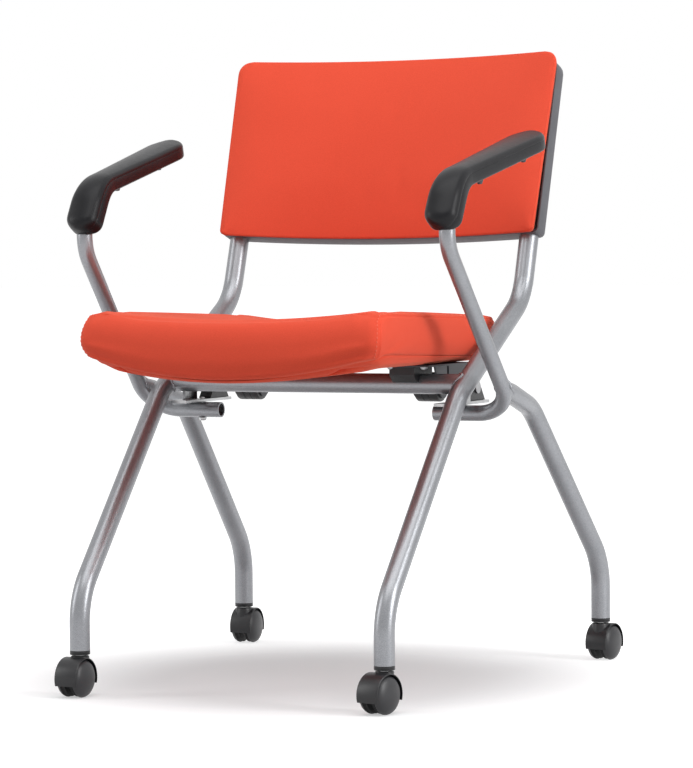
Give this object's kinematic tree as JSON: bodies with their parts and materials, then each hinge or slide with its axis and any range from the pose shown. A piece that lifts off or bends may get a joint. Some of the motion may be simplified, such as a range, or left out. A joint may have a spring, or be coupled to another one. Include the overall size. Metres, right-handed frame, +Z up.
{
  "type": "office chair",
  "caption": "Nesting training chair with flip-up upholstered seat, padded curved back, arm pads and twin-wheel casters on a bent tube frame",
  "frame": {"origin": "on the floor, under the middle of the four casters", "axes": "+Z up, -Y the way the chair faces, +X the sitter's left"},
  "size_m": [0.5738, 0.6482, 0.8116],
  "materials": {
    "red_fabric": "woven upholstery",
    "silver_paint": "silver powder coat",
    "soft_black": "moulded soft plastic",
    "black_plastic": "moulded plastic",
    "shell_grey": "moulded plastic",
    "board": "pressed board",
    "zinc": "zinc plated",
    "steel": "bright steel"
  },
  "bodies": {
    "frame": {"arm_pad_left": "soft_black", "arm_pad_right": "soft_black", "arm_screw_left_front": "black_plastic", "arm_screw_left_rear": "black_plastic", "arm_screw_right_front": "black_plastic", "arm_screw_right_rear": "black_plastic", "arm_strip_left": "steel", "arm_strip_right": "steel", "arm_tube_left": "silver_paint", "arm_tube_right": "silver_paint", "back_pad": "red_fabric", "back_panel": "board", "back_screw_left": "black_plastic", "back_screw_right": "black_plastic", "back_shell": "shell_grey", "crossbar": "silver_paint", "front_left_plug": "black_plastic", "front_right_plug": "black_plastic", "hinge_bar_left": "zinc", "hinge_bar_right": "zinc", "hinge_block_left": "black_plastic", "hinge_block_right": "black_plastic", "hinge_pin_left": "steel", "hinge_pin_right": "steel", "main_tube_left": "silver_paint", "main_tube_right": "silver_paint", "rear_left_plug": "black_plastic", "rear_leg_left": "silver_paint", "rear_leg_right": "silver_paint", "rear_right_plug": "black_plastic", "stub_bolt_left": "zinc", "stub_bolt_right": "zinc"},
    "seat": {"seat_barrel_left": "black_plastic", "seat_barrel_right": "black_plastic", "seat_base": "red_fabric", "seat_bracket_left": "zinc", "seat_bracket_right": "zinc", "seat_cushion": "red_fabric", "seat_saddle_left": "black_plastic", "seat_saddle_right": "black_plastic"},
    "front_left_caster": {"front_left_axle": "steel", "front_left_hood": "black_plastic", "front_left_stem": "zinc"},
    "front_right_caster": {"front_right_axle": "steel", "front_right_hood": "black_plastic", "front_right_stem": "zinc"},
    "rear_left_caster": {"rear_left_axle": "steel", "rear_left_hood": "black_plastic", "rear_left_stem": "zinc"},
    "rear_right_caster": {"rear_right_axle": "steel", "rear_right_hood": "black_plastic", "rear_right_stem": "zinc"},
    "front_left_wheel_a": {"front_left_wheel_a": "black_plastic"},
    "front_left_wheel_b": {"front_left_wheel_b": "black_plastic"},
    "front_right_wheel_a": {"front_right_wheel_a": "black_plastic"},
    "front_right_wheel_b": {"front_right_wheel_b": "black_plastic"},
    "rear_left_wheel_a": {"rear_left_wheel_a": "black_plastic"},
    "rear_left_wheel_b": {"rear_left_wheel_b": "black_plastic"},
    "rear_right_wheel_a": {"rear_right_wheel_a": "black_plastic"},
    "rear_right_wheel_b": {"rear_right_wheel_b": "black_plastic"}
  },
  "joints": [
    {"name": "seat_flip", "type": "hinge", "parent": "frame", "child": "seat", "pos_m": [0, 0.03841, 0.37371], "axis": [-1, 0, 0], "range_deg": [0, 75]},
    {"name": "front_left_swivel", "type": "hinge", "parent": "frame", "child": "front_left_caster", "pos_m": [0.2065, -0.2852, 0], "axis": [0, 0, 1], "continuous": true},
    {"name": "front_left_wheel_a_roll", "type": "hinge", "parent": "front_left_caster", "child": "front_left_wheel_a", "pos_m": [0.20425, -0.29494, 0.0235], "axis": [0.9744, -0.225, 0], "continuous": true},
    {"name": "front_left_wheel_b_roll", "type": "hinge", "parent": "front_left_caster", "child": "front_left_wheel_b", "pos_m": [0.20425, -0.29494, 0.0235], "axis": [0.9744, -0.225, 0], "continuous": true},
    {"name": "front_right_swivel", "type": "hinge", "parent": "frame", "child": "front_right_caster", "pos_m": [-0.2065, -0.2852, 0], "axis": [0, 0, 1], "continuous": true},
    {"name": "front_right_wheel_a_roll", "type": "hinge", "parent": "front_right_caster", "child": "front_right_wheel_a", "pos_m": [-0.20702, -0.29519, 0.0235], "axis": [0.9986, -0.0523, 0], "continuous": true},
    {"name": "front_right_wheel_b_roll", "type": "hinge", "parent": "front_right_caster", "child": "front_right_wheel_b", "pos_m": [-0.20702, -0.29519, 0.0235], "axis": [0.9986, -0.0523, 0], "continuous": true},
    {"name": "rear_left_swivel", "type": "hinge", "parent": "frame", "child": "rear_left_caster", "pos_m": [0.26675, 0.2852, 0], "axis": [0, 0, 1], "continuous": true},
    {"name": "rear_left_wheel_a_roll", "type": "hinge", "parent": "rear_left_caster", "child": "rear_left_wheel_a", "pos_m": [0.26814, 0.2951, 0.0235], "axis": [-0.9903, 0.1392, 0], "continuous": true},
    {"name": "rear_left_wheel_b_roll", "type": "hinge", "parent": "rear_left_caster", "child": "rear_left_wheel_b", "pos_m": [0.26814, 0.2951, 0.0235], "axis": [-0.9903, 0.1392, 0], "continuous": true},
    {"name": "rear_right_swivel", "type": "hinge", "parent": "frame", "child": "rear_right_caster", "pos_m": [-0.26675, 0.2852, 0], "axis": [0, 0, 1], "continuous": true},
    {"name": "rear_right_wheel_a_roll", "type": "hinge", "parent": "rear_right_caster", "child": "rear_right_wheel_a", "pos_m": [-0.26727, 0.29519, 0.0235], "axis": [-0.9986, -0.0523, 0], "continuous": true},
    {"name": "rear_right_wheel_b_roll", "type": "hinge", "parent": "rear_right_caster", "child": "rear_right_wheel_b", "pos_m": [-0.26727, 0.29519, 0.0235], "axis": [-0.9986, -0.0523, 0], "continuous": true}
  ]
}
